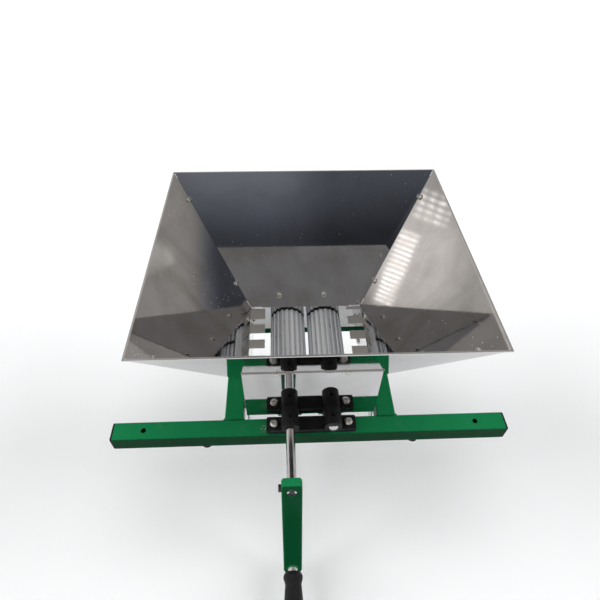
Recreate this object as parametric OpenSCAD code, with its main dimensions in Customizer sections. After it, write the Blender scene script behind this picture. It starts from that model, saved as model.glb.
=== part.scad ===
// Hand cranked grape crusher: a sheet steel hopper over two fluted rollers,
// carried by a welded frame of square tube that sits across a tub.
// Origin: middle of the four holes near the crossbar ends, level with the
// underside of the crossbars, where they lie on the tub.
// X runs along the crossbars, the crank is at -Y, +Z is up. Millimetres.

/* [Frame] */
// Length of each crossbar
bar_l = 520; // [460:5:640]
// Outer side of the square tube
tube_w = 25; // [22:1:30]
// Wall of the square tube
tube_wall = 2; // [1.5:0.1:2.5]
// Outer corner radius of the square tube
tube_r = 1.5; // [1:0.1:3]
// Clear distance between the two crossbars
bar_gap = 168; // [160:2:200]
// Clear distance from the crushing box to each side bar
side_bar_gap = 6.3; // [5:0.1:12]
// Distance from the middle to the hole near each crossbar end
end_hole_x = 221; // [205:1:224]
// Diameter of the holes near the crossbar ends
end_hole_d = 7; // [5:0.5:9]
// Thickness of the flange on each plastic end cap
cap_t = 3; // [2:0.5:5]
// Length of each end cap's plug inside the tube
plug_l = 12; // [8:1:16]

/* [Rubber stops] */
// Height of each stop under the crossbars
stop_h = 15; // [12:1:20]
// Diameter of each stop
stop_d = 16; // [14:0.5:18]
// Distance from the middle to each stop
stop_x = 142; // [130:1:150]
// Diameter of the stem that holds a stop in the tube
stop_stem_d = 8; // [6:0.5:9]

/* [Crushing box] */
// Inside width of the box
box_w = 166; // [160:1:180]
// Sheet thickness of the box walls
wall_t = 1.2; // [1:0.1:1.6]
// Gap between each end wall and the crossbar beside it
wall_gap = 3; // [2:0.5:5]
// Height of the front wall's lower edge over the crossbars
front_wall_lift = 5; // [3:0.5:7]
// Depth of the rear wall's lower edge under the crossbar tops
rear_wall_drop = 7; // [4:1:10]
// Depth of the side walls' lower edge under the crossbar tops
side_wall_drop = 23; // [20:1:24]
// Length of the corner returns on the end walls
return_l = 14; // [12:1:16]
// Diameter of the corner rivets
rivet_d = 4; // [3.2:0.2:4.4]
// Distance of the corner rivets from the end walls
rivet_inset = 7; // [6:0.5:8]

/* [Hopper] */
// Inside width of the hopper at the rim
rim_w = 360; // [330:2:400]
// Inside depth of the hopper at the rim
rim_d = 316; // [290:2:350]
// Distance from the throat to the rim
hopper_h = 171; // [150:1:190]
// Inside depth of the hopper at the throat
throat_d = 129; // [120:1:135]
// Height of the throat over the crossbar tops
throat_lift = 46; // [45:1:52]
// Distance of the rim's middle behind the frame's middle
rim_shift = 17; // [12:1:20]
// Sheet thickness of the hopper panels
panel_t = 1; // [0.8:0.1:1.2]
// Width of the hem round the rim
hem_w = 2; // [1.5:0.5:5]
// Thickness of the folded hem
hem_t = 1.2; // [1:0.1:3]
// Width of the flanges that the corner seams are screwed to
seam_w = 12; // [11:1:16]
// Height of the lower seam screws over the throat
seam_screw_low = 35.5; // [28:0.5:45]
// Height of the upper seam screws over the throat
seam_screw_high = 141.5; // [120:0.5:145]

/* [Combs] */
// Length of the comb tabs
tab_l = 22; // [18:0.5:24]
// Width of the comb tabs
tab_w = 15; // [12:0.5:17]
// Distance from one tab to the next
tab_pitch = 28.2; // [26:0.1:30]
// Sheet thickness of the combs
comb_t = 1; // [0.8:0.1:1.2]

/* [Rollers] */
// Outer diameter of the rollers
roller_d = 52; // [46:0.5:53]
// Distance between the two roller axes
axis_gap = 56; // [56:1:60]
// Diameter of the roller shafts
shaft_d = 12; // [10:0.5:14]
// Height of the roller axes over the crossbar tops
axis_lift = 15; // [14:0.5:18]
// Number of ratchet teeth round a roller
flutes = 20; // [16:1:24]
// Depth of the ratchet teeth
flute_h = 2.2; // [1.5:0.1:2.5]

/* [Bearing blocks] */
// Length of the foot plate of each block
block_l = 118; // [112:1:130]
// Depth of the foot plate of each block
block_w = 20; // [18:0.5:22]
// Thickness of the foot plate of each block
block_t = 8; // [6:0.5:9]
// Outer diameter of the bearing bosses
boss_d = 22.8; // [20:0.2:24]
// Distance between the two screws of a block
block_screw_gap = 97.4; // [94:0.2:100]
// Diameter of the block screws
block_screw_d = 6; // [5:0.5:7]
// Diameter of the oil holes
oil_hole_d = 4; // [3:0.5:5]

/* [Gears] */
// Number of teeth on each gear
gear_teeth = 14; // [13:1:16]
// Face width of the gears
gear_w = 12; // [10:1:16]
// Gap between the rear bosses and the gears
gear_gap = 2; // [1.5:0.5:4]
// Length of the gear hubs
hub_l = 9; // [8:0.5:12]

/* [Crank] */
// Distance from the shaft axis to the grip axis
crank_l = 160; // [140:1:180]
// Width of the crank arm
crank_w = 25; // [24:0.5:30]
// Depth of the crank arm
crank_t = 11.5; // [11:0.5:15]
// Wall of the crank arm's tube
crank_wall = 1.6; // [1.2:0.1:2]
// Distance from the front bosses to the middle of the crank arm, along the shaft
crank_reach = 76; // [65:0.5:95]
// Angle by which the crank arm leans out, away from the tub
crank_lean = 14; // [5:1:20]
// Length of the grip
grip_l = 95; // [85:1:120]
// Largest diameter of the grip
grip_d = 28; // [25:0.5:34]
// Diameter of the grip spindle
spindle_d = 8; // [7:0.5:9]

/* [Screws and play] */
// Diameter of the sheet metal screws
screw_d = 4; // [3.5:0.1:5]
// Diameter of the screws that cross the shafts and hubs
pin_screw_d = 5; // [4:0.5:5.5]
// Play between a shaft or spindle and its hole, on the radius
run_play = 0.06; // [0.04:0.01:0.1]
// Play round screws in their holes, on the radius
screw_play = 0.1; // [0.05:0.05:0.2]
// Gap between faces that are clamped together
seat_gap = 0.02; // [0:0.01:0.05]
// Gap between a boss and the wall that it passes through
boss_play = 0.4; // [0.3:0.1:0.8]
// Running gap at each end of a roller
end_play = 0.4; // [0.3:0.1:0.8]

/* [Hidden] */
$fn = 64;

// Levels of the frame
bar_z = 0;
bar_top = bar_z + tube_w;
bar_y = bar_gap / 2 + tube_w / 2;
tube_inner_r = max(tube_r - tube_wall, 0.4);

// The crushing box, between its inner faces
wall_y = bar_gap / 2 - wall_gap - wall_t;
wall_x = box_w / 2;
box_out_x = wall_x + 2 * wall_t + seat_gap;
side_bar_x = wall_x + wall_t + side_bar_gap + tube_w / 2;
front_wall_z = bar_top + front_wall_lift;
rear_wall_z = bar_top - rear_wall_drop;
side_wall_z = bar_top - side_wall_drop;

// The throat and the rim of the hopper
throat_z = bar_top + throat_lift;
rim_z = throat_z + hopper_h;
throat_inset = 1.8;
throat_rear = wall_y - throat_inset;
throat_front = throat_rear - throat_d;
rim_front = rim_shift - rim_d / 2;
rim_rear = rim_shift + rim_d / 2;

// Slope of each panel over level, in the order front, right, rear, left
FRONT = 0;
RIGHT = 1;
REAR = 2;
LEFT = 3;
side_run = (rim_w - box_w) / 2;
front_run = throat_front - rim_front;
rear_run = rim_rear - throat_rear;
runs = [front_run, side_run, rear_run, side_run];
slopes = [for (run = runs) atan2(hopper_h, run)];
lengths = [for (run = runs) sqrt(hopper_h * hopper_h + run * run)];
throat_mid = (throat_front + throat_rear) / 2;
panel_bases = [[0, throat_front], [wall_x, throat_mid], [0, throat_rear], [-wall_x, throat_mid]];
// Ends of each panel's lower and upper edges, along the panel
lower_ends = [
    [-wall_x, wall_x],
    [-throat_d / 2, throat_d / 2],
    [-wall_x, wall_x],
    [-throat_d / 2, throat_d / 2]
];
upper_ends = [
    [-rim_w / 2, rim_w / 2],
    [rim_front - throat_mid, rim_rear - throat_mid],
    [-rim_w / 2, rim_w / 2],
    [throat_mid - rim_rear, throat_mid - rim_front]
];
seam_gap = 0.7 * panel_t;
seam_overlap = 2.6 * panel_t;
seam_low = 10;
seam_high = 8;
seam_bend = 0.4 * panel_t;
seam_screw_inset = 5.5;

// The lower edge of the front panel, where the front wall's flange lies on it
front_a = slopes[FRONT];
flange_l = 9;
flange_root = 1.5;
flange_clear = 0.2;
wall_meets = (throat_front - panel_t * sin(front_a) + wall_y) / cos(front_a);
front_wall_top = throat_z - panel_t * cos(front_a) + wall_meets * sin(front_a) - flange_clear;
flange_screw_x = 43;
flange_screw_v = wall_meets + flange_l / 2;
rear_flange_l = 22;
rear_flange_inset = 17;
rear_flange_w = 2 * (wall_x - rear_flange_inset);
rear_screws_x = [-39.5, 27.5];
rear_screw_v = 17.5;
side_flange_l = 20;
side_flange_front = 4;
side_flange_rear = 7;
side_flange_bend = 3.5;
side_flange_ends = [throat_front + side_flange_front, throat_rear - side_flange_rear];
// The seam flanges start above the flanges of the side walls and the combs
seam_flange_low = side_flange_l + 2;
comb_rear = 2;
comb_ends = [throat_front + side_flange_front, throat_rear - comb_rear];
tab_drop = 0.7;
tab_end_step = 0.4;
// Where the rearmost tab's middle lies behind or before the comb's end, on the left and right
left_tab_inset = 11.5;
right_tab_inset = -1.5;
wide_tab_extra = 2.5;
side_screw_v = 5.5;
side_screw_rear = 29;
side_screw_front = 31;
side_screws_y = [throat_rear - side_screw_rear, throat_front + side_screw_front];

// Rollers, shafts and blocks
axis_z = bar_top + axis_lift;
axis_x = axis_gap / 2;
boss_inset = 2.4;
boss_short = 1;
block_corner_r = 2.5;
boss_in = wall_y - boss_inset;
boss_out = bar_gap / 2 + tube_w - boss_short;
roller_end = boss_in - end_play;
boss_hole_d = boss_d + 2 * boss_play;
// Angle of the first tooth tip from the top, towards the other roller
drive_tip = 2.4;
driven_tip = -0.8;
shaft_chamfer = 1;
shaft_past = 1.2;
roller_screw_inset = 20;
roller_screw_l = 12;
socket_depth = 2.5;

// Gears: module from the axis distance, so that they always mesh
gear_m = axis_gap / gear_teeth;
gear_y = boss_out + gear_gap;
gear_end = gear_y + gear_w;
hub_end = gear_end + hub_l;
hub_wall = 6;
hub_d = shaft_d + 2 * hub_wall;
pressure = 25;
tooth_play = 0.35;

// Crank and grip: the arm's middle and faces on the shaft axis, then on the grip axis
clamp_y = -boss_out - crank_reach;
arm_half = crank_t / 2 / cos(crank_lean);
crank_front = clamp_y - arm_half;
arm_l = crank_l / cos(crank_lean);
crank_end = 11;
crank_edge_r = 2;
crank_inner_r = 1;
crank_corner_r = 5;
grip_z = axis_z - crank_l;
grip_y = clamp_y - crank_l * tan(crank_lean);
grip_clear = 5;
grip_gap = 0.5;
grip_back = grip_y - arm_half - grip_clear;
grip_front = grip_back - grip_l;
spindle_head_d = 16;
spindle_head_h = 3.5;
// The head turns in a seat in the grip's end, this deep from the end to the head's underside
head_seat = 6;
head_gap = 0.3;
head_play = 0.6;
// The grip's rim, its neck and its rounded end, along its length
rim_edge = 4;
rim_l = 8;
rim_inset = 1;
neck_l = 14;
neck_share = 0.78;
grip_end_l = 20;
grip_lip = 1.5;
// The spindle's collar is welded into the arm's front wall, its tail into the back wall
spindle_collar_d = 13;
collar_sink = 4;
spindle_tail = 1.5;

// Screw heads and nuts, as shares of the screw's diameter
head_share = 1.9;
head_h_share = 0.6;
nut_share = 1.8;
nut_h_share = 0.8;
tail = 1.5;

// Small steps of the end caps, stops, rivets and side walls
plug_play = 0.1;
plug_wall = 2.5;
plug_edge_r = 0.8;
stop_taper = 1.5;
stop_stem_l = 5;
rivet_head_h = 1.2;
rivet_rise = 6;
rivet_drop = 16;
return_drop = 8;
side_top_drop = 2;
side_wall_clear = 0.5;
mitre_gap = 0.2;

// Screws that hold the box to the inner walls of the side bars
box_screw_d = 5;
box_screw_y = 55;
box_screw_z = bar_z + tube_w / 2;
box_screw_past = 6;

steel_grey = [0.72, 0.73, 0.75];
frame_green = [0.11, 0.45, 0.25];
black_plastic = [0.06, 0.06, 0.07];
zinc = [0.8, 0.8, 0.78];
aluminium_grey = [0.78, 0.79, 0.8];

// Shared shapes

// A rod along Y
module rod_y(d, y0, y1, x, z) {
    translate([x, y1, z]) rotate([90, 0, 0]) cylinder(d = d, h = y1 - y0);
}

// A rod along X
module rod_x(d, x0, x1, y, z) {
    translate([x0, y, z]) rotate([0, 90, 0]) cylinder(d = d, h = x1 - x0);
}

// A square with round corners, made of squares and circles
module rounded(w, h, r) {
    square([w - 2 * r, h], center = true);
    square([w, h - 2 * r], center = true);
    for (x = [-1, 1], y = [-1, 1])
        translate([x * (w / 2 - r), y * (h / 2 - r)]) circle(r);
}

// Square tube along Z, from 0 to l
module tube(l) {
    linear_extrude(l) difference() {
        rounded(tube_w, tube_w, tube_r);
        rounded(tube_w - 2 * tube_wall, tube_w - 2 * tube_wall, tube_inner_r);
    }
}

// Hexagon across flats af, from 0 to h along Z
module hexagon(af, h) {
    cylinder(d = af / cos(30), h = h, $fn = 6);
}

// Pan head screw along -Z, with its head's underside at 0 and a cross recess
module pan_screw(d, l) {
    head_d = head_share * d;
    head_h = head_h_share * d;
    difference() {
        union() {
            cylinder(d = head_d, h = head_h * 0.55);
            translate([0, 0, head_h * 0.55]) cylinder(d1 = head_d, d2 = head_d * 0.62, h = head_h * 0.45);
            translate([0, 0, -l]) cylinder(d = d, h = l);
        }
        for (a = [0, 90])
            rotate([0, 0, a]) translate([0, 0, head_h])
                cube([head_d * 0.5, d * 0.2, head_h], center = true);
    }
}

// Hexagon head screw along -Z, with its head's underside at 0
module hex_screw(d, l) {
    hexagon(1.6 * d, 0.7 * d);
    translate([0, 0, -l]) cylinder(d = d, h = l);
}

// Hexagon nut from 0 to its height along Z, bored for a screw of diameter d
module nut(d) {
    difference() {
        hexagon(nut_share * d, nut_h_share * d);
        translate([0, 0, -1]) cylinder(d = d + 2 * screw_play, h = nut_h_share * d + 2);
    }
}

// Puts its children on a panel's inner face: x along the panel, y up its slope, z outwards
module on_panel(side) {
    at = panel_bases[side];
    translate([at[0], at[1], throat_z]) rotate([180 - slopes[side], 0, side * 90]) children();
}

// Position along a panel of its edge number i, at distance v up the slope
function edge_at(side, i, v) =
    lower_ends[side][i] + (upper_ends[side][i] - lower_ends[side][i]) * v / lengths[side];

// Distance up the slope of a point that lies h over the throat
function up_slope(side, h) = h / sin(slopes[side]);

// Where the seam screws stand: two on each slanting edge of the side panels
seam_places = [
    for (side = [RIGHT, LEFT], i = [0, 1], h = [seam_screw_low, seam_screw_high])
        let (v = up_slope(side, h)) [side, edge_at(side, i, v) + (i == 0 ? 1 : -1) * seam_screw_inset, v]
];

// Where the screws near the throat stand: side, place along the panel, distance up the slope
throat_places = [
    for (x = [-flange_screw_x, flange_screw_x]) [FRONT, x, flange_screw_v],
    for (x = rear_screws_x) [REAR, -x, rear_screw_v],
    for (y = side_screws_y) [RIGHT, y - throat_mid, side_screw_v],
    for (y = side_screws_y) [LEFT, throat_mid - y, side_screw_v]
];

// Thickness that a throat screw clamps on each side of the hopper
throat_grips = [
    panel_t + seat_gap + wall_t,
    panel_t + comb_t + 2 * seat_gap + wall_t,
    panel_t + seat_gap + wall_t,
    panel_t + comb_t + 2 * seat_gap + wall_t
];

module seam_holes(side) {
    for (p = seam_places)
        if (p[0] == side)
            translate([p[1], p[2], -5]) cylinder(d = screw_d + 2 * screw_play, h = 20, $fn = 32);
}

module throat_holes(side) {
    for (p = throat_places)
        if (p[0] == side)
            translate([p[1], p[2], -5]) cylinder(d = screw_d + 2 * screw_play, h = 20, $fn = 32);
}

// Frame

module crossbar(end) {
    color(frame_green) difference() {
        translate([-bar_l / 2, end * bar_y, bar_z + tube_w / 2]) rotate([90, 0, 90]) tube(bar_l);
        for (x = [-end_hole_x, end_hole_x])
            translate([x, end * bar_y, bar_z - 1]) cylinder(d = end_hole_d, h = tube_w + 2);
        for (x = [-block_screw_gap / 2, block_screw_gap / 2])
            translate([x, end * bar_y, bar_z - 1])
                cylinder(d = block_screw_d + 2 * screw_play, h = tube_w + 2);
        for (x = [-stop_x, stop_x])
            translate([x, end * bar_y, bar_z - 1])
                cylinder(d = stop_stem_d + 2 * screw_play, h = tube_w / 2 + 1);
    }
}

module front_crossbar() {
    crossbar(-1);
}

module rear_crossbar() {
    crossbar(1);
}

module side_bar(side) {
    color(frame_green) difference() {
        translate([side * side_bar_x, bar_gap / 2, bar_z + tube_w / 2]) rotate([90, 0, 0]) tube(bar_gap);
        for (y = [-box_screw_y, box_screw_y])
            rod_x(box_screw_d + 2 * screw_play, min(0, side * side_bar_x), max(0, side * side_bar_x),
                y, box_screw_z);
    }
}

module left_side_bar() {
    side_bar(-1);
}

module right_side_bar() {
    side_bar(1);
}

module tube_end_caps() {
    plug_w = tube_w - 2 * tube_wall - 2 * plug_play;
    color(black_plastic)
        for (x = [-1, 1], y = [-1, 1])
            translate([x * bar_l / 2, y * bar_y, bar_z + tube_w / 2]) rotate([90, 0, x * 90]) {
                translate([0, 0, seat_gap]) linear_extrude(cap_t) rounded(tube_w, tube_w, tube_r);
                translate([0, 0, -plug_l]) linear_extrude(plug_l + 1) difference() {
                    rounded(plug_w, plug_w, plug_edge_r);
                    square(plug_w - 2 * plug_wall, center = true);
                }
            }
}

module rubber_stops() {
    color(black_plastic)
        for (x = [-stop_x, stop_x], y = [-bar_y, bar_y])
            translate([x, y, bar_z - stop_h]) {
                cylinder(d1 = stop_d - 2 * stop_taper, d2 = stop_d, h = stop_taper);
                translate([0, 0, stop_taper]) cylinder(d = stop_d, h = stop_h - stop_taper - seat_gap);
                translate([0, 0, stop_h - 1]) cylinder(d = stop_stem_d, h = tube_wall + stop_stem_l);
            }
}

// Crushing box

// Boss clearance holes in an end wall, cut down through its lower edge where they reach it
module boss_holes(y0, y1, open) {
    for (x = [-axis_x, axis_x]) {
        rod_y(boss_hole_d, y0, y1, x, axis_z);
        if (open)
            translate([x - boss_hole_d / 2, y0, axis_z - boss_hole_d])
                cube([boss_hole_d, y1 - y0, boss_hole_d]);
    }
}

// Corner returns of an end wall, lying on the outside of the side walls
module corner_returns(end, z0, z1) {
    for (x = [-1, 1])
        difference() {
            translate([
                x > 0 ? box_out_x - wall_t : -box_out_x,
                end > 0 ? wall_y - return_l : -wall_y - wall_t,
                z0
            ])
                cube([wall_t, return_l + wall_t, z1 - z0]);
            rivet_holes(end);
        }
}

rivet_z = [front_wall_z + rivet_rise, throat_z - rivet_drop];

module rivet_holes(end) {
    for (z = rivet_z)
        rod_x(rivet_d + 2 * screw_play, -box_out_x - 5, box_out_x + 5, end * (wall_y - rivet_inset), z);
}

module box_front_wall() {
    color(steel_grey) difference() {
        union() {
            translate([-box_out_x, -wall_y - wall_t, front_wall_z])
                cube([2 * box_out_x, wall_t, front_wall_top - front_wall_z]);
            corner_returns(-1, front_wall_z, throat_z - return_drop);
            on_panel(FRONT) translate([-box_out_x, wall_meets - flange_root, panel_t + seat_gap])
                cube([2 * box_out_x, flange_l + flange_root, wall_t]);
        }
        boss_holes(-wall_y - wall_t - 1, -wall_y + 1, true);
        on_panel(FRONT) throat_holes(FRONT);
    }
}

module box_rear_wall() {
    color(steel_grey) difference() {
        union() {
            translate([-box_out_x, wall_y, rear_wall_z])
                cube([2 * box_out_x, wall_t, throat_z - rear_wall_z]);
            corner_returns(1, rear_wall_z, throat_z - return_drop);
            on_panel(REAR) translate([-rear_flange_w / 2, -flange_root, panel_t + seat_gap])
                cube([rear_flange_w, rear_flange_l + flange_root, wall_t]);
        }
        boss_holes(wall_y - 1, wall_y + wall_t + 1, false);
        on_panel(REAR) throat_holes(REAR);
    }
}

// Side wall, cut along the underside of the front panel where it rises past the throat
module side_wall(side) {
    wall_end = wall_y - seat_gap;
    top = throat_z - side_top_drop;
    clear = 2 * panel_t + side_wall_clear;
    slope_y = throat_front - clear * sin(front_a);
    slope_z = throat_z - clear * cos(front_a);
    low_v = (top - slope_z) / sin(front_a);
    high_v = (slope_y + wall_end) / cos(front_a);
    panel = side < 0 ? LEFT : RIGHT;
    layer = panel_t + comb_t + 2 * seat_gap;
    from = side < 0 ? throat_mid - side_flange_ends[1] : side_flange_ends[0] - throat_mid;
    color(steel_grey) difference() {
        union() {
            translate([side > 0 ? wall_x : -wall_x - wall_t, 0, 0]) rotate([90, 0, 90])
                linear_extrude(wall_t) polygon([
                    [-wall_end, side_wall_z],
                    [wall_end, side_wall_z],
                    [wall_end, top],
                    [slope_y - low_v * cos(front_a), top],
                    [-wall_end, slope_z + high_v * sin(front_a)]
                ]);
            on_panel(panel) translate([from, -side_flange_bend, layer])
                cube([side_flange_ends[1] - side_flange_ends[0], side_flange_l + side_flange_bend, wall_t]);
        }
        for (end = [-1, 1])
            rivet_holes(end);
        for (y = [-box_screw_y, box_screw_y])
            rod_x(box_screw_d + 2 * screw_play, -side_bar_x, side_bar_x, y, box_screw_z);
        on_panel(panel) throat_holes(panel);
    }
}

module left_side_wall() {
    side_wall(-1);
}

module right_side_wall() {
    side_wall(1);
}

module box_rivets() {
    color(zinc)
        for (x = [-1, 1], end = [-1, 1], z = rivet_z) {
            inner = wall_x - seat_gap;
            outer = box_out_x + seat_gap;
            y = end * (wall_y - rivet_inset);
            rod_x(rivet_d, x > 0 ? inner : -outer, x > 0 ? outer : -inner, y, z);
            translate([x * inner, y, z]) rotate([0, -x * 90, 0])
                cylinder(d1 = 1.7 * rivet_d, d2 = rivet_d, h = rivet_head_h);
            translate([x * outer, y, z]) rotate([0, x * 90, 0])
                cylinder(d1 = 1.5 * rivet_d, d2 = rivet_d, h = rivet_head_h);
        }
}

// Thread-forming screws, with their heads inside the box and their tips inside the side bars
module box_screws() {
    reach = wall_t + side_bar_gap + tube_wall + box_screw_past;
    color(zinc)
        for (x = [-1, 1], y = [-box_screw_y, box_screw_y])
            translate([x * (wall_x - seat_gap), y, box_screw_z]) rotate([0, -x * 90, 0])
                pan_screw(box_screw_d, reach);
}

module box_spacers() {
    color(zinc)
        for (x = [-1, 1], y = [-box_screw_y, box_screw_y])
            translate([x * (wall_x + wall_t + seat_gap), y, box_screw_z]) rotate([0, x * 90, 0])
                difference() {
                    cylinder(d = 2 * box_screw_d, h = side_bar_gap - 2 * seat_gap);
                    translate([0, 0, -1]) cylinder(d = box_screw_d + 2 * screw_play, h = side_bar_gap + 2);
                }
}

// Combs: tabs bent in from a strip that is clamped behind each side panel

// Ends of each tab; the two sides are staggered by half a step, and the tab at
// the rear is wider on the left and cut short by the end of the strip on the right
function tab_ends(side) = [
    for (k = [0:3])
        let (
            mid = comb_ends[1] - (side < 0 ? left_tab_inset : right_tab_inset) - k * tab_pitch,
            extra = side < 0 && k == 0 ? wide_tab_extra : 0
        )
            [
                max(comb_ends[0] + tab_end_step, mid - tab_w / 2 - extra),
                min(comb_ends[1] - tab_end_step, mid + tab_w / 2 + extra)
            ]
];

module comb(side) {
    panel = side < 0 ? LEFT : RIGHT;
    a = slopes[panel];
    from = side < 0 ? throat_mid - comb_ends[1] : comb_ends[0] - throat_mid;
    // The tabs' roots end in the middle of the strip's thickness
    drop = tab_drop + comb_t / 2;
    mid_w = panel_t + seat_gap + comb_t / 2;
    root = wall_x + mid_w * sin(a) + (mid_w * cos(a) - drop) / tan(a);
    color(steel_grey) difference() {
        union() {
            on_panel(panel) translate([from, -1, panel_t + seat_gap])
                cube([comb_ends[1] - comb_ends[0], side_flange_l + 1, comb_t]);
            for (ends = tab_ends(side))
                translate([side > 0 ? wall_x - tab_l : -root, ends[0], throat_z - drop - comb_t / 2])
                    cube([tab_l + root - wall_x, ends[1] - ends[0], comb_t]);
        }
        on_panel(panel) throat_holes(panel);
    }
}

module left_comb() {
    comb(-1);
}

module right_comb() {
    comb(1);
}

// Hopper

// Rim hem of one panel, mitred at both corners
module hem(side) {
    half_w = rim_w / 2;
    depth = side % 2 == 0 ? (side == FRONT ? -rim_front : rim_rear) : half_w;
    side_ends = side == RIGHT ? [rim_front, rim_rear] : [-rim_rear, -rim_front];
    ends = side % 2 == 0 ? [-half_w, half_w] : side_ends;
    translate([0, 0, rim_z - hem_t]) rotate([0, 0, side * 90]) linear_extrude(hem_t)
        polygon([
            [ends[0] + mitre_gap, -depth],
            [ends[1] - mitre_gap, -depth],
            [ends[1] + hem_w - mitre_gap, -depth - hem_w],
            [ends[0] - hem_w + mitre_gap, -depth - hem_w]
        ]);
}

// Flat sheet of a panel; trim draws both slanting edges in, extra lets them run past the seam
module sheet(side, trim, extra) {
    l = lengths[side];
    linear_extrude(panel_t) polygon([
        [edge_at(side, 0, 0) + trim, 0],
        [edge_at(side, 1, 0) - trim, 0],
        [edge_at(side, 1, l) - trim, l],
        [edge_at(side, 0, l) + trim, l]
    ]);
    if (extra > 0) {
        v0 = seam_low;
        v1 = l - seam_high;
        linear_extrude(panel_t) polygon([
            [edge_at(side, 0, v0) - extra, v0],
            [edge_at(side, 1, v0) + extra, v0],
            [edge_at(side, 1, v1) + extra, v1],
            [edge_at(side, 0, v1) - extra, v1]
        ]);
    }
}

// Strip behind a side panel at its edge number i, folded back from the front or rear panel
module seam_flange(side, i) {
    v0 = seam_flange_low;
    v1 = lengths[side] - seam_high;
    inward = i == 0 ? 1 : -1;
    out = -seam_bend * inward;
    translate([0, 0, panel_t + seat_gap]) linear_extrude(panel_t) polygon([
        [edge_at(side, i, v0) + out, v0],
        [edge_at(side, i, v0) + inward * seam_w, v0],
        [edge_at(side, i, v1) + inward * seam_w, v1],
        [edge_at(side, i, v1) + out, v1]
    ]);
}

module end_panel(side, right_edge, left_edge) {
    color(steel_grey) {
        on_panel(side) difference() {
            sheet(side, 0, seam_overlap);
            throat_holes(side);
        }
        on_panel(RIGHT) difference() {
            seam_flange(RIGHT, right_edge);
            seam_holes(RIGHT);
        }
        on_panel(LEFT) difference() {
            seam_flange(LEFT, left_edge);
            seam_holes(LEFT);
        }
        hem(side);
    }
}

module hopper_front_panel() {
    end_panel(FRONT, 0, 1);
}

module hopper_rear_panel() {
    end_panel(REAR, 1, 0);
}

module side_panel(side) {
    color(steel_grey) {
        on_panel(side) difference() {
            sheet(side, seam_gap, 0);
            seam_holes(side);
            throat_holes(side);
        }
        hem(side);
    }
}

module hopper_left_panel() {
    side_panel(LEFT);
}

module hopper_right_panel() {
    side_panel(RIGHT);
}

module seam_screws() {
    grip = 2 * panel_t + seat_gap;
    color(zinc)
        for (p = seam_places)
            on_panel(p[0]) translate([p[1], p[2], -seat_gap]) mirror([0, 0, 1])
                pan_screw(screw_d, grip + nut_h_share * screw_d + tail);
}

module seam_nuts() {
    grip = 2 * panel_t + 2 * seat_gap;
    color(zinc)
        for (p = seam_places)
            on_panel(p[0]) translate([p[1], p[2], grip]) nut(screw_d);
}

// The front pair has its heads outside; the others have them inside the hopper
module throat_screws() {
    color(zinc)
        for (p = throat_places) {
            grip = throat_grips[p[0]];
            l = grip + nut_h_share * screw_d + tail;
            if (p[0] == FRONT)
                on_panel(FRONT) translate([p[1], p[2], grip + seat_gap]) pan_screw(screw_d, l);
            else
                on_panel(p[0]) translate([p[1], p[2], -seat_gap]) mirror([0, 0, 1]) pan_screw(screw_d, l);
        }
}

module throat_nuts() {
    color(zinc)
        for (p = throat_places)
            if (p[0] == FRONT)
                on_panel(FRONT) translate([p[1], p[2], -seat_gap]) mirror([0, 0, 1]) nut(screw_d);
            else
                on_panel(p[0]) translate([p[1], p[2], throat_grips[p[0]] + seat_gap]) nut(screw_d);
}

// Bearing blocks

module bearing_block(end) {
    y0 = end < 0 ? -boss_out : boss_in;
    y1 = end < 0 ? -boss_in : boss_out;
    color(black_plastic) difference() {
        union() {
            translate([0, end * bar_y, bar_top + seat_gap]) linear_extrude(block_t)
                rounded(block_l, block_w, block_corner_r);
            for (x = [-axis_x, axis_x])
                rod_y(boss_d, y0, y1, x, axis_z);
        }
        for (x = [-axis_x, axis_x]) {
            rod_y(shaft_d + 2 * run_play, y0 - 1, y1 + 1, x, axis_z);
            translate([x, end * bar_y, axis_z]) cylinder(d = oil_hole_d, h = boss_d);
        }
        for (x = [-block_screw_gap / 2, block_screw_gap / 2])
            translate([x, end * bar_y, bar_top - 1])
                cylinder(d = block_screw_d + 2 * screw_play, h = block_t + 2);
    }
}

module front_bearing_block() {
    bearing_block(-1);
}

module rear_bearing_block() {
    bearing_block(1);
}

module block_screws() {
    top = bar_top + block_t + 2 * seat_gap;
    color(zinc)
        for (x = [-block_screw_gap / 2, block_screw_gap / 2], end = [-1, 1])
            translate([x, end * bar_y, top])
                pan_screw(block_screw_d, block_t + tube_w + nut_h_share * block_screw_d + tail);
}

module block_nuts() {
    color(zinc)
        for (x = [-block_screw_gap / 2, block_screw_gap / 2], end = [-1, 1])
            translate([x, end * bar_y, bar_z - seat_gap]) mirror([0, 0, 1]) nut(block_screw_d);
}

// Rollers, shafts and gears

// Outline of a roller, with ratchet teeth whose steep sides look to the hand side at the top.
// The first tip stands at the angle tip from the top.
module roller_outline(hand, tip) {
    step = 360 / flutes;
    top = roller_d / 2;
    low = top - flute_h;
    tooth = [[0, top], [0.09, low], [0.17, low], [0.86, top]];
    polygon([
        for (k = [0:flutes - 1], p = tooth)
            let (a = 90 - hand * (tip + (k + p[0]) * step))
                [p[1] * cos(a), p[1] * sin(a)]
    ]);
}

roller_screw_y = roller_end - roller_screw_inset;

module roller(x, tip) {
    color(aluminium_grey) difference() {
        translate([x, roller_end, axis_z]) rotate([90, 0, 0]) linear_extrude(2 * roller_end) difference() {
            roller_outline(x < 0 ? 1 : -1, tip);
            circle(d = shaft_d + 2 * run_play);
        }
        for (y = [-roller_screw_y, roller_screw_y])
            translate([x, y, axis_z]) rotate([180, 0, 0])
                cylinder(d = pin_screw_d + 2 * screw_play, h = roller_d);
    }
}

// Set screws sunk in the underside of a roller, down on its shaft
module roller_screws(x) {
    color(steel_grey)
        for (y = [-roller_screw_y, roller_screw_y])
            translate([x, y, axis_z - shaft_d / 2 - seat_gap]) mirror([0, 0, 1])
                set_screw(roller_screw_l);
}

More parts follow.
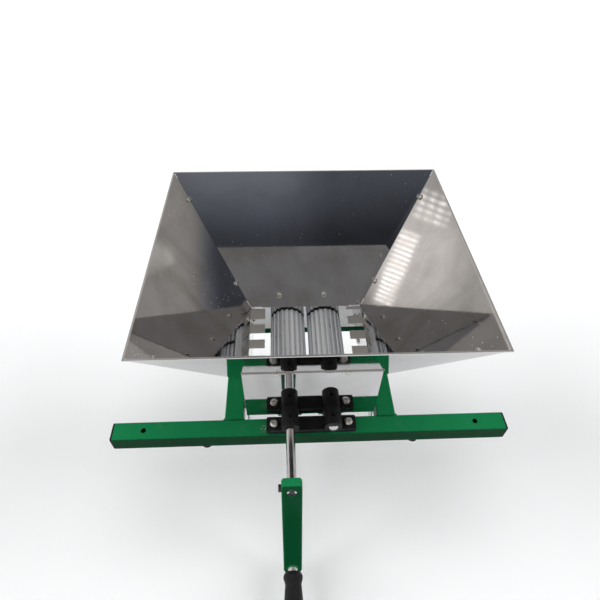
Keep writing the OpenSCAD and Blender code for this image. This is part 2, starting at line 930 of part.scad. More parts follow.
// Set screw along Z from 0 to l, with a hexagon socket in its far end
module set_screw(l) {
    difference() {
        cylinder(d = pin_screw_d, h = l);
        translate([0, 0, l - socket_depth]) hexagon(0.5 * pin_screw_d, socket_depth + 1);
    }
}

// Rolling angle of an involute of base radius rb at radius r, in degrees
function involute(rb, r) = let (a = acos(min(1, rb / r))) tan(a) * 180 / PI - a;

// Outline of a gear with involute teeth; the first tooth points along +X
module gear_outline() {
    rp = gear_m * gear_teeth / 2;
    rb = rp * cos(pressure);
    ra = rp + gear_m;
    rr = rp - 1.25 * gear_m;
    half = 90 / gear_teeth - tooth_play + involute(rb, rp);
    steps = 5;
    radii = [for (i = [0:steps]) max(rb, rr) + (ra - max(rb, rr)) * i / steps];
    foot = half - involute(rb, max(rb, rr));
    polygon([
        for (k = [0:gear_teeth - 1])
            let (mid = k * 360 / gear_teeth)
                for (p = concat(
                    [[rr, -foot - 1]],
                    [for (r = radii) [r, -half + involute(rb, r)]],
                    [for (i = [0:steps]) [radii[steps - i], half - involute(rb, radii[steps - i])]],
                    [[rr, foot + 1]]
                ))
                    [p[0] * cos(mid + p[1]), p[0] * sin(mid + p[1])]
    ]);
}

// A gear with a hub behind it, turned by phase degrees
module gear(x, phase) {
    color(steel_grey) difference() {
        union() {
            translate([x, gear_end, axis_z]) rotate([90, 0, 0]) linear_extrude(gear_w) rotate(phase)
                gear_outline();
            rod_y(hub_d, gear_end - 1, hub_end, x, axis_z);
        }
        rod_y(shaft_d + 2 * run_play, gear_y - 1, hub_end + 1, x, axis_z);
        translate([x, (gear_end + hub_end) / 2, axis_z])
            cylinder(d = pin_screw_d + 2 * screw_play, h = hub_d);
    }
}

module gear_screw(x) {
    color(steel_grey) translate([x, (gear_end + hub_end) / 2, axis_z + shaft_d / 2 + seat_gap])
        set_screw((hub_d - shaft_d) / 2);
}

// A shaft along Y with a chamfer at each end
module shaft(y0, y1, x) {
    c = shaft_chamfer;
    translate([x, y1, axis_z]) rotate([90, 0, 0]) rotate_extrude()
        polygon([
            [0, 0],
            [shaft_d / 2 - c, 0],
            [shaft_d / 2, c],
            [shaft_d / 2, y1 - y0 - c],
            [shaft_d / 2 - c, y1 - y0],
            [0, y1 - y0]
        ]);
}

module drive_shaft() {
    color(steel_grey) difference() {
        shaft(crank_front - shaft_past, hub_end + shaft_past, -axis_x);
        rod_x(pin_screw_d + 2 * screw_play, -axis_x - shaft_d, -axis_x + shaft_d, clamp_y, axis_z);
    }
}

module driven_shaft() {
    color(steel_grey) shaft(-boss_out - shaft_past, hub_end + shaft_past, axis_x);
}

module drive_roller() {
    roller(-axis_x, drive_tip);
}

module driven_roller() {
    roller(axis_x, driven_tip);
}

module drive_roller_screws() {
    roller_screws(-axis_x);
}

module driven_roller_screws() {
    roller_screws(axis_x);
}

module drive_gear() {
    gear(-axis_x, 0);
}

module driven_gear() {
    gear(axis_x, 180 + 180 / gear_teeth);
}

module drive_gear_screw() {
    gear_screw(-axis_x);
}

module driven_gear_screw() {
    gear_screw(axis_x);
}

// Crank

// Puts its children on the leaning arm: z along it, up from the shaft axis
module on_arm() {
    translate([-axis_x, clamp_y, axis_z]) rotate([-crank_lean, 0, 0]) children();
}

// A flat closed tube, with its corners rounded at both ends
module crank_arm() {
    length = arm_l + 2 * crank_end;
    color(frame_green) difference() {
        on_arm() difference() {
            intersection() {
                translate([0, 0, crank_end - length]) linear_extrude(length)
                    rounded(crank_w, crank_t, crank_edge_r);
                translate([0, crank_t / 2 + 1, crank_end - length / 2]) rotate([90, 0, 0])
                    linear_extrude(crank_t + 2) rounded(crank_w, length, crank_corner_r);
            }
            translate([0, 0, crank_end - length + crank_wall]) linear_extrude(length - 2 * crank_wall)
                rounded(crank_w - 2 * crank_wall, crank_t - 2 * crank_wall, crank_inner_r);
        }
        rod_y(shaft_d + 2 * run_play, clamp_y - crank_t, clamp_y + crank_t, -axis_x, axis_z);
        rod_y(spindle_d + 2 * screw_play, grip_y, grip_y + crank_t, -axis_x, grip_z);
        rod_y(spindle_collar_d + 2 * screw_play, grip_y - crank_t, grip_y, -axis_x, grip_z);
        rod_x(pin_screw_d + 2 * screw_play, -axis_x - crank_w, -axis_x, clamp_y, axis_z);
    }
}

// Screwed into the arm's left wall and through the shaft
module crank_clamp_screw() {
    color(steel_grey) translate([-axis_x - crank_w / 2 - seat_gap, clamp_y, axis_z]) rotate([0, -90, 0])
        hex_screw(pin_screw_d, crank_w / 2 + shaft_d / 2 + tail);
}

// Headed pin that the grip turns on, with a collar behind the grip
module handle_spindle() {
    head_y = grip_front + head_seat;
    color(zinc) {
        rod_y(spindle_d, head_y - spindle_head_h / 2, grip_y + arm_half + spindle_tail, -axis_x, grip_z);
        rod_y(spindle_head_d, head_y - spindle_head_h, head_y, -axis_x, grip_z);
        rod_y(spindle_collar_d, grip_back + grip_gap, grip_y - arm_half + collar_sink, -axis_x, grip_z);
    }
}

// Turned grip: its profile runs along its length, from the crank end to the outer end
module handle_grip() {
    r = grip_d / 2;
    neck = neck_share * r;
    bore = spindle_d / 2 + run_play;
    recess = spindle_head_d / 2 + head_play;
    belly_l = grip_l - neck_l - grip_end_l;
    seat = grip_l - head_seat - head_gap;
    color(black_plastic) translate([-axis_x, grip_back, grip_z]) rotate([90, 0, 0]) rotate_extrude()
        polygon([
            [bore, 0],
            [neck, 0],
            [r - rim_inset, rim_edge],
            [r - rim_inset, rim_l],
            [neck, neck_l],
            for (i = [1:7]) [neck + (r - neck) * sin(90 * i / 7), neck_l + belly_l * i / 7],
            for (i = [1:6])
                [
                    r - (r - recess - grip_lip) * (1 - cos(90 * i / 6)),
                    grip_l - grip_end_l * (1 - sin(90 * i / 6))
                ],
            [recess, grip_l],
            [recess, seat],
            [bore, seat]
        ]);
}

front_crossbar();
rear_crossbar();
left_side_bar();
right_side_bar();
tube_end_caps();
rubber_stops();
box_front_wall();
box_rear_wall();
left_side_wall();
right_side_wall();
box_rivets();
box_screws();
box_spacers();
left_comb();
right_comb();
hopper_front_panel();
hopper_rear_panel();
hopper_left_panel();
hopper_right_panel();
seam_screws();
seam_nuts();
throat_screws();
throat_nuts();
front_bearing_block();
rear_bearing_block();
block_screws();
block_nuts();
drive_shaft();
drive_roller();
drive_roller_screws();
drive_gear();
drive_gear_screw();
crank_arm();
crank_clamp_screw();
handle_spindle();
handle_grip();
driven_shaft();
driven_roller();
driven_roller_screws();
driven_gear();
driven_gear_screw();
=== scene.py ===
"""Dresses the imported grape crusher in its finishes, and sets up its studio and camera.

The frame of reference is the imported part's own: metres, X along the crossbars, the crank
at -Y and +Z up. Every made piece keeps its place in its mesh, so its object stays at the
origin.
"""

from __future__ import annotations

import logging
import math
from dataclasses import dataclass
from enum import Enum
from typing import Sequence

import bmesh
import bpy
import numpy as np
from mathutils import Matrix, Vector

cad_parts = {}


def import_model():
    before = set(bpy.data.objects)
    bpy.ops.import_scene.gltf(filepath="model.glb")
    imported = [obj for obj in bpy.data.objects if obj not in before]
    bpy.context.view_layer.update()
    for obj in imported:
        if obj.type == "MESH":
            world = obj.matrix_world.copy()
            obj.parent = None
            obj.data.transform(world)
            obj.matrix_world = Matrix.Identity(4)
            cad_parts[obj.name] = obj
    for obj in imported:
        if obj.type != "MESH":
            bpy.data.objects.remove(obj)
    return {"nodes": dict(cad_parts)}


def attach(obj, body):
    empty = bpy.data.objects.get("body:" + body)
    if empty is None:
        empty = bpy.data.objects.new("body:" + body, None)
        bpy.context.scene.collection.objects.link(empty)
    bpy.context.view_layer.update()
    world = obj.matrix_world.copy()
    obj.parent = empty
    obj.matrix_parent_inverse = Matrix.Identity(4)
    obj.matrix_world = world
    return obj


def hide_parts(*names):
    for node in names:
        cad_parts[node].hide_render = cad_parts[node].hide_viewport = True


log = logging.getLogger("crusher")

Rgb = tuple[float, float, float]
Point = tuple[float, float, float]
Band = tuple[float, float]
Socket = bpy.types.NodeSocket
Finish = bpy.types.Material
Piece = bpy.types.Object
# Points as rows by columns by 3, and whether the rows and the columns close on themselves
Grid = tuple[np.ndarray, bool, bool]
Amount = float | Socket
Tint = Rgb | Socket

PHOTO_PIXELS = 600
# Points nearer than this, in metres, become one, in a new mesh and in a packed one
SAME_POINT = 1e-7
SAME_PACKED_POINT = 1e-6
# Angles in degrees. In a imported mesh, faces that meet at less than the first are joined, edges
# sharper than the second are shaded sharp, and those sharper than the third are eased.
FLAT_DEG = 0.5
SHARP_DEG = 30.0
EASED_DEG = 35.0

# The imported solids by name, filled in when the frame is loaded
packed_nodes: dict[str, Piece] = {}


class Body(Enum):
    """The rigid bodies that pieces ride on."""

    FRAME = "frame"
    DRIVE = "drive"
    DRIVEN = "driven"
    GRIP = "grip"


class Slot(Enum):
    """Those of the record's material slots that made pieces name."""

    GREEN_PAINT = "green_paint"
    BLACK_PLASTIC = "black_plastic"
    BLACK_RUBBER = "black_rubber"
    ZINC = "zinc"
    ROLLER_ALUMINIUM = "roller_aluminium"
    GEAR_STEEL = "gear_steel"
    DARK_STEEL = "dark_steel"


class Grain(Enum):
    """The axis along which a metal was rolled, brushed or drawn."""

    ACROSS = (1.0, 14.0, 14.0)
    LENGTHWISE = (14.0, 1.0, 14.0)
    UP_THE_SIDES = (1.0, 14.0, 1.0)


class Axis(Enum):
    """Which way the height of a turned shape runs."""

    UP = "up"
    TO_CRANK = "to the crank"


class Nodes:
    """A node tree, with short calls that add a node and return its output."""

    def __init__(self, owner: Finish | bpy.types.World) -> None:
        """Empties the node tree of a material or a world.

        Args:
            owner: The material or world that the nodes belong to.
        """
        owner.use_nodes = True
        self.tree = owner.node_tree
        self.tree.nodes.clear()

    def feed(self, socket: Socket, value: Amount | Tint) -> None:
        """Links an output to a socket, or sets a plain number or colour on it.

        Args:
            socket: The input.
            value: What it takes.
        """
        if isinstance(value, Socket):
            self.tree.links.new(value, socket)
        elif isinstance(value, tuple) and socket.type == "RGBA":
            socket.default_value = (*value, 1.0)
        else:
            socket.default_value = value

    def band(self, value: Amount, low: float, high: float, start: float = 0.0, end: float = 1.0) -> Socket:
        """Carries a number from one value to another along a smooth step.

        Args:
            value: The number that decides.
            low: Where the step begins.
            high: Where the step ends.
            start: The result below the step.
            end: The result above it.

        Returns:
            The result.
        """
        node = self.tree.nodes.new("ShaderNodeMapRange")
        node.interpolation_type = "SMOOTHSTEP"
        for name, number in zip(("Value", "From Min", "From Max", "To Min", "To Max"),
                                (value, low, high, start, end)):
            self.feed(node.inputs[name], number)
        return node.outputs["Result"]

    def math(self, operation: str, a: Amount, b: Amount = 0.0) -> Socket:
        """Adds one arithmetic operation.

        Args:
            operation: Its name in the math node.
            a: The first number.
            b: The second, where the operation has one.

        Returns:
            The result.
        """
        node = self.tree.nodes.new("ShaderNodeMath")
        node.operation = operation
        self.feed(node.inputs[0], a)
        self.feed(node.inputs[1], b)
        return node.outputs[0]

    def times(self, a: Amount, b: Amount) -> Socket:
        """The product of two numbers."""
        return self.math("MULTIPLY", a, b)

    def plus(self, a: Amount, b: Amount) -> Socket:
        """The sum of two numbers."""
        return self.math("ADD", a, b)

    def larger(self, a: Amount, b: Amount) -> Socket:
        """The larger of two numbers."""
        return self.math("MAXIMUM", a, b)

    def blend(self, share: Amount, a: Tint, b: Tint) -> Socket:
        """Mixes two colours.

        Args:
            share: The second colour's share, from 0 to 1.
            a: The first colour.
            b: The second colour.

        Returns:
            The mixture.
        """
        node = self.tree.nodes.new("ShaderNodeMix")
        node.data_type = "RGBA"
        for index, value in ((0, share), (6, a), (7, b)):
            self.feed(node.inputs[index], value)
        return node.outputs[2]

    def axes(self, vector: Socket) -> tuple[Socket, Socket, Socket]:
        """Takes a vector apart.

        Args:
            vector: The vector.

        Returns:
            Its three components.
        """
        node = self.tree.nodes.new("ShaderNodeSeparateXYZ")
        self.feed(node.inputs[0], vector)
        return node.outputs[0], node.outputs[1], node.outputs[2]


class Graph(Nodes):
    """The nodes of one material, round a principled shader."""

    def __init__(self, name: str) -> None:
        """Makes an empty material.

        Args:
            name: The finish's name in a maker's words.
        """
        self.material = bpy.data.materials.new(name)
        super().__init__(self.material)
        self.shader = self.tree.nodes.new("ShaderNodeBsdfPrincipled")
        output = self.tree.nodes.new("ShaderNodeOutputMaterial")
        self.tree.links.new(self.shader.outputs["BSDF"], output.inputs["Surface"])
        self.coordinates = self.tree.nodes.new("ShaderNodeTexCoord")

    def set(self, **values: Amount | Tint) -> None:
        """Feeds the shader's sockets.

        Args:
            values: What each socket takes, by its name with underscores for spaces.
        """
        names = {s.name.lower().replace(" ", "_"): s for s in self.shader.inputs}
        for name, value in values.items():
            self.feed(names[name], value)

    def place(self) -> Socket:
        """Position on the piece, in metres."""
        return self.coordinates.outputs["Object"]

    def stretch(self, scale: Sequence[float], vector: Socket | None = None) -> Socket:
        """Scales a position, axis by axis, so that a pattern is drawn out or squeezed.

        Args:
            scale: The factor along each axis.
            vector: The position, or None for the position on the piece.

        Returns:
            The scaled position.
        """
        node = self.tree.nodes.new("ShaderNodeMapping")
        self.feed(node.inputs["Vector"], vector or self.place())
        node.inputs["Scale"].default_value = scale
        return node.outputs["Vector"]

    def noise(self, scale: float, detail: float = 3.0, roughness: float = 0.5,
              vector: Socket | None = None, distortion: float = 0.0) -> Socket:
        """Cloudy noise from 0 to 1.

        Args:
            scale: Clouds per metre.
            detail: How many finer layers it has.
            roughness: How strong the finer layers are.
            vector: Where it is read, or None for the place on the piece.
            distortion: How far it is swirled.

        Returns:
            The noise's value.
        """
        node = self.tree.nodes.new("ShaderNodeTexNoise")
        self.feed(node.inputs["Vector"], vector or self.place())
        for name, value in zip(("Scale", "Detail", "Roughness", "Distortion"),
                               (scale, detail, roughness, distortion)):
            node.inputs[name].default_value = value
        return node.outputs[0]

    def cells(self, scale: float, vector: Socket | None = None) -> Socket:
        """Distance from the nearest of many scattered points.

        Args:
            scale: Points per metre.
            vector: Where it is read, or None for the place on the piece.

        Returns:
            The distance, in cells.
        """
        node = self.tree.nodes.new("ShaderNodeTexVoronoi")
        self.feed(node.inputs["Vector"], vector or self.place())
        node.inputs["Scale"].default_value = scale
        return node.outputs["Distance"]

    def corners(self, low: float = 0.02, high: float = 0.2) -> Socket:
        """1 on the round corners of a piece with square faces, and 0 on the faces.

        The mask is 1 minus the largest part of the surface's direction along an axis.

        Args:
            low: The mask's value where it begins to count.
            high: Its value from which it counts in full.

        Returns:
            The mask.
        """
        node = self.tree.nodes.new("ShaderNodeVectorMath")
        node.operation = "ABSOLUTE"
        self.feed(node.inputs[0], self.coordinates.outputs["Normal"])
        x, y, z = self.axes(node.outputs["Vector"])
        largest = self.larger(self.larger(x, y), z)
        return self.band(self.math("SUBTRACT", 1.0, largest), low, high)

    def facing_up(self) -> Socket:
        """1 on faces that look up and 0 on all others."""
        return self.band(self.axes(self.coordinates.outputs["Normal"])[2], 0.5, 0.95)

    def within(self, low: Sequence[float], high: Sequence[float], soft: float) -> Socket:
        """1 inside a box of the part, fading out over a soft edge.

        Args:
            low: The box's low corner.
            high: Its high corner.
            soft: Half the width of the soft edge.

        Returns:
            The mask.
        """
        share: Amount = 1.0
        for value, a, b in zip(self.axes(self.place()), low, high):
            share = self.times(share, self.band(value, a - soft, a + soft))
            share = self.times(share, self.band(value, b - soft, b + soft, 1.0, 0.0))
        return share

    def seen(self) -> Socket:
        """Tells rays that end in the picture from those that only carry matt light.

        Returns:
            1 for the camera's own rays and for those that metal or glass sends on, else 0.
        """
        path = self.tree.nodes.new("ShaderNodeLightPath")
        mirrored = self.larger(path.outputs["Is Glossy Ray"], path.outputs["Is Transmission Ray"])
        return self.larger(path.outputs["Is Camera Ray"], mirrored)

    def relief(self, height: Socket, depth: float, normal: Socket | None = None) -> Socket:
        """Turns a height into a surface relief.

        Args:
            height: The height from 0 to 1.
            depth: What a height of 1 is, in metres.
            normal: A relief that this one lies on, or None.

        Returns:
            The surface's new normal.
        """
        node = self.tree.nodes.new("ShaderNodeBump")
        node.inputs["Strength"].default_value = 1.0
        node.inputs["Distance"].default_value = depth
        self.feed(node.inputs["Height"], height)
        if normal is not None:
            self.feed(node.inputs["Normal"], normal)
        return node.outputs["Normal"]


@dataclass(frozen=True)
class PowderCoat:
    """Gloss powder coat on steel tube, lighter green on the round corners, partly as wear and partly as a
    painted highlight, and scuffed where tools have slipped.
    """

    name: str = "green_powder_coat"
    colour: Rgb = (0.013, 0.228, 0.080)
    deep: Rgb = (0.010, 0.198, 0.068)
    worn_edge_highlight: Rgb = (0.030, 0.270, 0.110)
    bare: Rgb = (0.30, 0.29, 0.27)
    scuff: Rgb = (0.42, 0.47, 0.40)
    gloss: float = 0.14
    slip_low: Point = (-0.072, -0.106, 0.015)
    slip_high: Point = (-0.048, -0.090, 0.035)
    slip_soft: float = 0.009

    def material(self) -> Finish:
        """Builds the finish.

        Returns:
            The material, with drifting colour, an orange peel relief, corner wear that is also a painted
            edge highlight, chips and scuffs.
        """
        g = Graph(self.name)
        body = g.blend(g.band(g.noise(7.0, 3.0, 0.5), 0.3, 0.7), self.deep, self.colour)
        # Painted highlight: the round corners turn a lighter green, partly as wear of the coat and partly
        # as a painted highlight along the edges.
        patchy = g.band(g.noise(60.0, 6.0, 0.65), 0.42, 0.66)
        body = g.blend(g.times(g.corners(), g.times(patchy, 0.55)), body, self.worn_edge_highlight)
        chips = g.times(g.band(g.noise(210.0, 3.0, 0.6), 0.66, 0.70), g.corners(0.06, 0.2))
        scratches = g.band(g.noise(5.0, 9.0, 0.75, g.stretch((16.0, 160.0, 160.0))), 0.68, 0.72)
        slipped = g.within(self.slip_low, self.slip_high, self.slip_soft)
        grit = g.plus(g.noise(900.0, 3.0, 0.7), g.times(slipped, 0.14))
        rubbed = g.times(slipped, g.band(grit, 0.67, 0.74))
        marks = g.larger(g.times(scratches, 0.35), g.times(rubbed, 0.8))
        body = g.blend(marks, body, self.scuff)
        dust = g.times(g.facing_up(), g.band(g.noise(38.0, 7.0, 0.7), 0.5, 0.8, 0.0, 0.05))
        body = g.blend(dust, body, self.scuff)
        g.set(base_color=g.blend(chips, body, self.bare), metallic=g.times(chips, 0.7))
        haze = g.band(g.noise(24.0, 5.0, 0.6), 0.3, 0.75, self.gloss, self.gloss + 0.08)
        g.set(roughness=g.plus(haze, g.times(marks, 0.4)))
        peel = g.relief(g.noise(420.0, 2.0, 0.5), 0.00005)
        chipped = g.relief(g.math("SUBTRACT", 1.0, g.larger(chips, marks)), 0.00006, peel)
        g.set(normal=chipped, ior=1.08)
        return g.material


@dataclass(frozen=True)
class BrightSheet:
    """Polished stainless sheet that waves a little, with rolling grain, wipe marks and dried drops."""

    name: str
    grain: Grain
    colour: Rgb = (0.60, 0.60, 0.61)
    film: Rgb = (0.43, 0.42, 0.40)
    dried: Rgb = (0.72, 0.71, 0.68)
    polish: float = 0.035
    waves: float = 0.00018
    seed: int = 0

    def material(self) -> Finish:
        """Builds the finish.

        Returns:
            A metal whose relief and roughness bend and haze its reflections.
        """
        g = Graph(self.name)
        moved = g.tree.nodes.new("ShaderNodeMapping")
        g.feed(moved.inputs["Vector"], g.place())
        moved.inputs["Location"].default_value = (self.seed, self.seed * 0.7, self.seed * 1.3)
        at = moved.outputs["Vector"]
        grain = g.noise(55.0, 4.0, 0.6, g.stretch(self.grain.value, at))
        wiped = g.noise(9.0, 6.0, 0.62, g.stretch((1.0, 1.6, 0.7), at), 1.2)
        drops = g.band(g.cells(95.0, at), 0.05, 0.16, 1.0, 0.0)
        sparse = g.band(g.noise(17.0, 2.0, 0.5, at), 0.55, 0.68)
        spots = g.times(drops, sparse)
        hairlines = g.band(g.noise(6.0, 10.0, 0.8, g.stretch((150.0, 20.0, 30.0), at), 0.4), 0.66, 0.72)
        dots = g.band(g.cells(150.0, at), 0.06, 0.10, 1.0, 0.0)
        specks = g.times(dots, g.band(g.noise(13.0, 3.0, 0.6, at), 0.50, 0.62))
        smear = g.band(wiped, 0.38, 0.72)
        colour = g.blend(g.times(smear, 0.55), self.colour, self.film)
        colour = g.blend(g.larger(g.times(spots, 0.5), specks), colour, self.dried)
        marks = g.larger(specks, g.times(hairlines, 0.25))
        g.set(base_color=colour, metallic=g.math("SUBTRACT", 1.0, g.times(marks, 0.85)))
        rough = g.plus(g.band(wiped, 0.35, 0.75, self.polish, self.polish + 0.05), g.times(grain, 0.01))
        rough = g.plus(rough, g.times(g.larger(spots, hairlines), 0.15))
        g.set(roughness=rough)
        bent = g.relief(g.noise(6.5, 1.0, 0.4, at, 0.6), self.waves)
        brushed = g.relief(grain, 0.0000035, bent)
        g.set(normal=g.relief(g.plus(spots, hairlines), 0.000012, brushed))
        return g.material


@dataclass(frozen=True)
class MouldedPlastic:
    """Black moulded plastic with a fine matt skin, dulled by dust on the faces that look up."""

    name: str = "black_moulded_plastic"
    colour: Rgb = (0.009, 0.009, 0.010)
    dust: Rgb = (0.045, 0.045, 0.043)
    gloss: float = 0.42

    def material(self) -> Finish:
        """Builds the finish.

        Returns:
            The material, with a pebbled relief, rubbed patches and dust.
        """
        g = Graph(self.name)
        specks = g.band(g.noise(260.0, 6.0, 0.7), 0.48, 0.78)
        settled = g.times(g.facing_up(), g.band(g.noise(45.0, 5.0, 0.6), 0.35, 0.8, 0.08, 0.5))
        share = g.times(g.plus(settled, 0.08), g.plus(specks, 0.35))
        g.set(base_color=g.blend(share, self.colour, self.dust))
        g.set(roughness=g.band(g.noise(70.0, 4.0, 0.6), 0.3, 0.7, self.gloss, self.gloss + 0.2))
        g.set(normal=g.relief(g.noise(900.0, 2.0, 0.5), 0.00003), specular_ior_level=0.2)
        return g.material


@dataclass(frozen=True)
class SoftRubber:
    """Dull black rubber with a bloom and fine pits."""

    name: str = "black_rubber"
    colour: Rgb = (0.013, 0.013, 0.013)
    bloom: Rgb = (0.055, 0.053, 0.050)

    def material(self) -> Finish:
        """Builds the finish.

        Returns:
            The material, with its bloom and pits.
        """
        g = Graph(self.name)
        g.set(base_color=g.blend(g.band(g.noise(90.0, 6.0, 0.7), 0.4, 0.8), self.colour, self.bloom))
        g.set(roughness=g.band(g.noise(150.0, 3.0, 0.5), 0.3, 0.7, 0.68, 0.9))
        g.set(normal=g.relief(g.noise(700.0, 3.0, 0.6), 0.00005))
        return g.material


@dataclass(frozen=True)
class Plated:
    """Plated or bare steel hardware: fasteners, shafts and gears."""

    name: str
    colour: Rgb
    stain: Rgb
    polish: float
    mottle: float = 160.0
    grain: Grain = Grain.LENGTHWISE
    relief: float = 0.00001

    def material(self) -> Finish:
        """Builds the finish.

        Returns:
            A metal with mottled plating, drawn grain and stains.
        """
        g = Graph(self.name)
        cloud = g.noise(self.mottle, 5.0, 0.65)
        stains = g.band(g.noise(self.mottle * 0.4, 6.0, 0.7), 0.5, 0.75)
        g.set(base_color=g.blend(g.times(stains, 0.6), self.colour, self.stain), metallic=1.0)
        drawn = g.noise(220.0, 3.0, 0.6, g.stretch(self.grain.value))
        rough = g.band(cloud, 0.3, 0.75, self.polish, self.polish + 0.12)
        g.set(roughness=g.plus(rough, g.times(drawn, 0.08)))
        g.set(normal=g.relief(drawn, self.relief))
        return g.material


@dataclass(frozen=True)
class RollerMetal:
    """Sawn aluminium teeth, bright on the tips, with painted shade and real stains down in the grooves."""

    name: str
    axis_x: float
    axis_z: float
    tip_r: float = 0.026
    depth: float = 0.0022
    bright: Rgb = (0.86, 0.89, 0.93)
    painted_groove_shade: Rgb = (0.40, 0.42, 0.45)
    stain: Rgb = (0.26, 0.22, 0.20)

    def material(self) -> Finish:
        """Builds the finish.

        Returns:
            A metal whose colour is darkened as painted shade, and stained, by its distance from the
            roller's axis.
        """
        g = Graph(self.name)
        x, _, z = g.axes(g.place())
        dx = g.math("SUBTRACT", x, self.axis_x)
        dz = g.math("SUBTRACT", z, self.axis_z)
        radius = g.math("SQRT", g.plus(g.times(dx, dx), g.times(dz, dz)))
        groove = g.band(radius, self.tip_r - self.depth, self.tip_r - 0.4 * self.depth, 1.0, 0.0)
        drawn = g.noise(300.0, 4.0, 0.65, g.stretch((1.0, 0.04, 1.0)))
        body = g.blend(g.band(drawn, 0.3, 0.7), self.bright, tuple(0.95 * c for c in self.bright))
        # Painted shade: the colour turns darker down in the grooves, where shade falls.
        body = g.blend(g.times(groove, 0.75), body, self.painted_groove_shade)
        residue = g.times(groove, g.band(g.noise(55.0, 6.0, 0.7), 0.5, 0.72, 0.0, 0.55))
        g.set(base_color=g.blend(residue, body, self.stain), metallic=0.72)
        rough = g.plus(g.band(drawn, 0.3, 0.7, 0.42, 0.50), g.times(groove, 0.10))
        g.set(roughness=rough, normal=g.relief(drawn, 0.000008))
        return g.material


def quads(rows: int, columns: int, wrap_rows: bool, wrap_columns: bool) -> np.ndarray:
    """Faces of a grid of points.

    Point (i, j) has the number i * columns + j, and each face joins it to its neighbours
    at i + 1 and j + 1, counted round where the grid closes on itself.

    Args:
        rows: Points along the first parameter.
        columns: Points along the second parameter.
        wrap_rows: Whether the last row joins the first.
        wrap_columns: Whether the last column joins the first.

    Returns:
        An array of four point numbers for each face.
    """
    i = np.arange(rows if wrap_rows else rows - 1)[:, None]
    j = np.arange(columns if wrap_columns else columns - 1)[None, :]
    below, right = (i + 1) % rows, (j + 1) % columns
    corners = (i * columns + j, i * columns + right, below * columns + right, below * columns + j)
    return np.stack([np.broadcast_to(c, (i.size, j.size)) for c in corners], axis=-1).reshape(-1, 4)


def piece_from(name: str, points: np.ndarray, faces: np.ndarray, smooth_deg: float = 32.0) -> Piece:
    """Makes a piece from points and faces.

    Args:
        name: The piece's name.
        points: Positions in metres, one row each.
        faces: Point numbers, one row for each face.
        smooth_deg: Edges sharper than this stay sharp.

    Returns:
        The new object, at the origin, with its faces pointing out.
    """
    mesh = bpy.data.meshes.new(name)
    mesh.from_pydata(points.tolist(), [], faces.tolist())
    work = bmesh.new()
    work.from_mesh(mesh)
    bmesh.ops.remove_doubles(work, verts=work.verts, dist=SAME_POINT)
    bmesh.ops.recalc_face_normals(work, faces=work.faces)
    work.to_mesh(mesh)
    work.free()
    mesh.polygons.foreach_set("use_smooth", np.ones(len(mesh.polygons), bool))
    mesh.set_sharp_from_angle(angle=math.radians(smooth_deg))
    piece = bpy.data.objects.new(name, mesh)
    bpy.context.scene.collection.objects.link(piece)
    return piece


def surfaces(name: str, grids: Sequence[Grid], smooth_deg: float = 32.0) -> Piece:
    """Joins several grids of points into one piece.

    Args:
        name: The piece's name.
        grids: The grid of each surface.
        smooth_deg: Edges sharper than this stay sharp.

    Returns:
        The piece.
    """
    points, faces, count = [], [], 0
    for grid, wrap_rows, wrap_columns in grids:
        rows, columns = grid.shape[:2]
        points.append(grid.reshape(-1, 3))
        faces.append(quads(rows, columns, wrap_rows, wrap_columns) + count)
        count += rows * columns
    return piece_from(name, np.concatenate(points), np.concatenate(faces), smooth_deg)


def turned(profile: np.ndarray, base: Sequence[float], axis: Axis, steps: int = 48) -> np.ndarray:
    """Surface of revolution: each (radius, height) of the profile goes round the axis.

    Args:
        profile: Radius and height pairs, from one end to the other.
        base: Where height 0 lies on the axis.
        axis: Which way the height runs.
        steps: Points round the axis.

    Returns:
        The grid of points, whose columns close on themselves.
    """
    angle = np.linspace(0.0, 2.0 * math.pi, steps, endpoint=False)
    a = profile[:, :1] * np.cos(angle)
    b = profile[:, :1] * np.sin(angle)
    h = np.broadcast_to(profile[:, 1:], a.shape)
    grid = np.stack([a, b, h] if axis is Axis.UP else [a, -h, b], axis=-1)
    return grid + np.asarray(base)


def rounded_square(half: float, radius: float, steps: int) -> np.ndarray:
    """Outline of a square with round corners.

    A point runs round at even angles t and lies at the superellipse distance
    half / (|cos t|^n + |sin t|^n)^(1/n), whose power n follows from the corner radius.

    Args:
        half: Half the side.
        radius: Radius of the corners.
        steps: Points round the outline.

    Returns:
        The points, as rows of two numbers.
    """
    angle = np.linspace(0.0, 2.0 * math.pi, steps, endpoint=False)
    power = max(2.0, 2.1 * half / radius)
    reach = half / (np.abs(np.cos(angle)) ** power + np.abs(np.sin(angle)) ** power) ** (1.0 / power)
    return np.stack([reach * np.cos(angle), reach * np.sin(angle)], axis=-1)


def eased(node: str, width: float, segments: int = 2) -> Piece:
    """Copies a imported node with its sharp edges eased, as on a real machined or moulded piece.

    Args:
        node: The node's name.
        width: Width of the rounding on each edge, in metres.
        segments: Faces across the rounding.

    Returns:
        The copy, with a bevel on every sharp edge.
    """
    mesh = packed_nodes[node].data.copy()
    mesh.name = f"{node}_eased"
    work = bmesh.new()
    work.from_mesh(mesh)
    bmesh.ops.remove_doubles(work, verts=work.verts, dist=SAME_PACKED_POINT)
    bmesh.ops.dissolve_limit(work, angle_limit=math.radians(FLAT_DEG), verts=work.verts,
                             edges=work.edges)
    work.to_mesh(mesh)
    work.free()
    mesh.materials.clear()
    mesh.polygons.foreach_set("use_smooth", np.ones(len(mesh.polygons), bool))
    mesh.set_sharp_from_angle(angle=math.radians(SHARP_DEG))
    piece = bpy.data.objects.new(f"{node}_eased", mesh)
    bpy.context.scene.collection.objects.link(piece)
    bevel = piece.modifiers.new("eased_edges", "BEVEL")
    bevel.width = width
    bevel.segments = segments
    bevel.limit_method = "ANGLE"
    bevel.angle_limit = math.radians(EASED_DEG)
    bevel.harden_normals = True
    return piece


